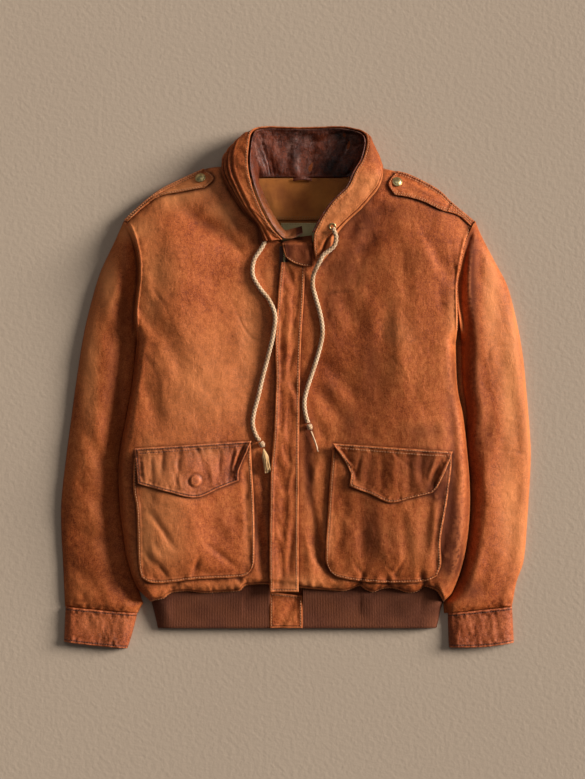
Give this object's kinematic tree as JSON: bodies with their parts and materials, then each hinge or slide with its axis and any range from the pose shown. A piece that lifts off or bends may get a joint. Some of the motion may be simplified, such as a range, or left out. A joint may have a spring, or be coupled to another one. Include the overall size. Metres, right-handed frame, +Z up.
{
  "type": "worn leather jacket",
  "caption": "Hip-length tan leather flight jacket laid flat front up, with soft stand collar, drawcord, storm placket, flapped patch pockets, shoulder straps, cuffs and rib knit waist.",
  "frame": {"origin": "centre of the laid-out jacket's outline, on the surface it lies on", "axes": "+Y from hem to collar, +X to the right as laid out front up, +Z up off the surface"},
  "size_m": [0.7024, 0.7804, 0.0613],
  "materials": {
    "body_leather": "soft cognac tan goatskin, matt to satin, rubbed darker at seams",
    "facing_leather": "dark glossy red-brown leather, wrinkled",
    "knit_rib": "brown worsted one-by-one rib knit",
    "lining_cotton": "mustard cotton twill, washed",
    "label_cloth": "pale sage woven cloth, bare",
    "zip_tape": "dark brown cotton tape with dull brass teeth",
    "cord_braid": "cream cotton braid, soiled",
    "brass": "aged brass, lightly dulled"
  },
  "bodies": {
    "root": {"front_left": "body_leather", "front_right": "body_leather", "back": "body_leather", "sleeve_upper_left": "body_leather", "sleeve_under_left": "body_leather", "sleeve_upper_right": "body_leather", "sleeve_under_right": "body_leather", "cuff_upper_left": "body_leather", "cuff_under_left": "body_leather", "cuff_upper_right": "body_leather", "cuff_under_right": "body_leather", "rib_front_left": "knit_rib", "rib_front_right": "knit_rib", "rib_back": "knit_rib", "waist_tab": "body_leather", "zip": "zip_tape", "placket": "body_leather", "throat_flap": "facing_leather", "pocket_left": "body_leather", "pocket_flap_left": "body_leather", "pocket_right": "body_leather", "pocket_flap_right": "body_leather", "shoulder_strap_left": "body_leather", "shoulder_strap_right": "body_leather", "snap_left": "brass", "snap_right": "brass", "collar_outer": "body_leather", "collar_facing": "facing_leather", "neck_lining": "lining_cotton", "body_lining": "lining_cotton", "label": "label_cloth", "hanger_loop": "facing_leather", "cord_left": "cord_braid", "cord_right": "cord_braid", "knot_left": "cord_braid", "knot_right": "cord_braid", "tassel_left": "cord_braid", "core_right": "cord_braid", "eyelet_right": "brass"}
  },
  "joints": []
}
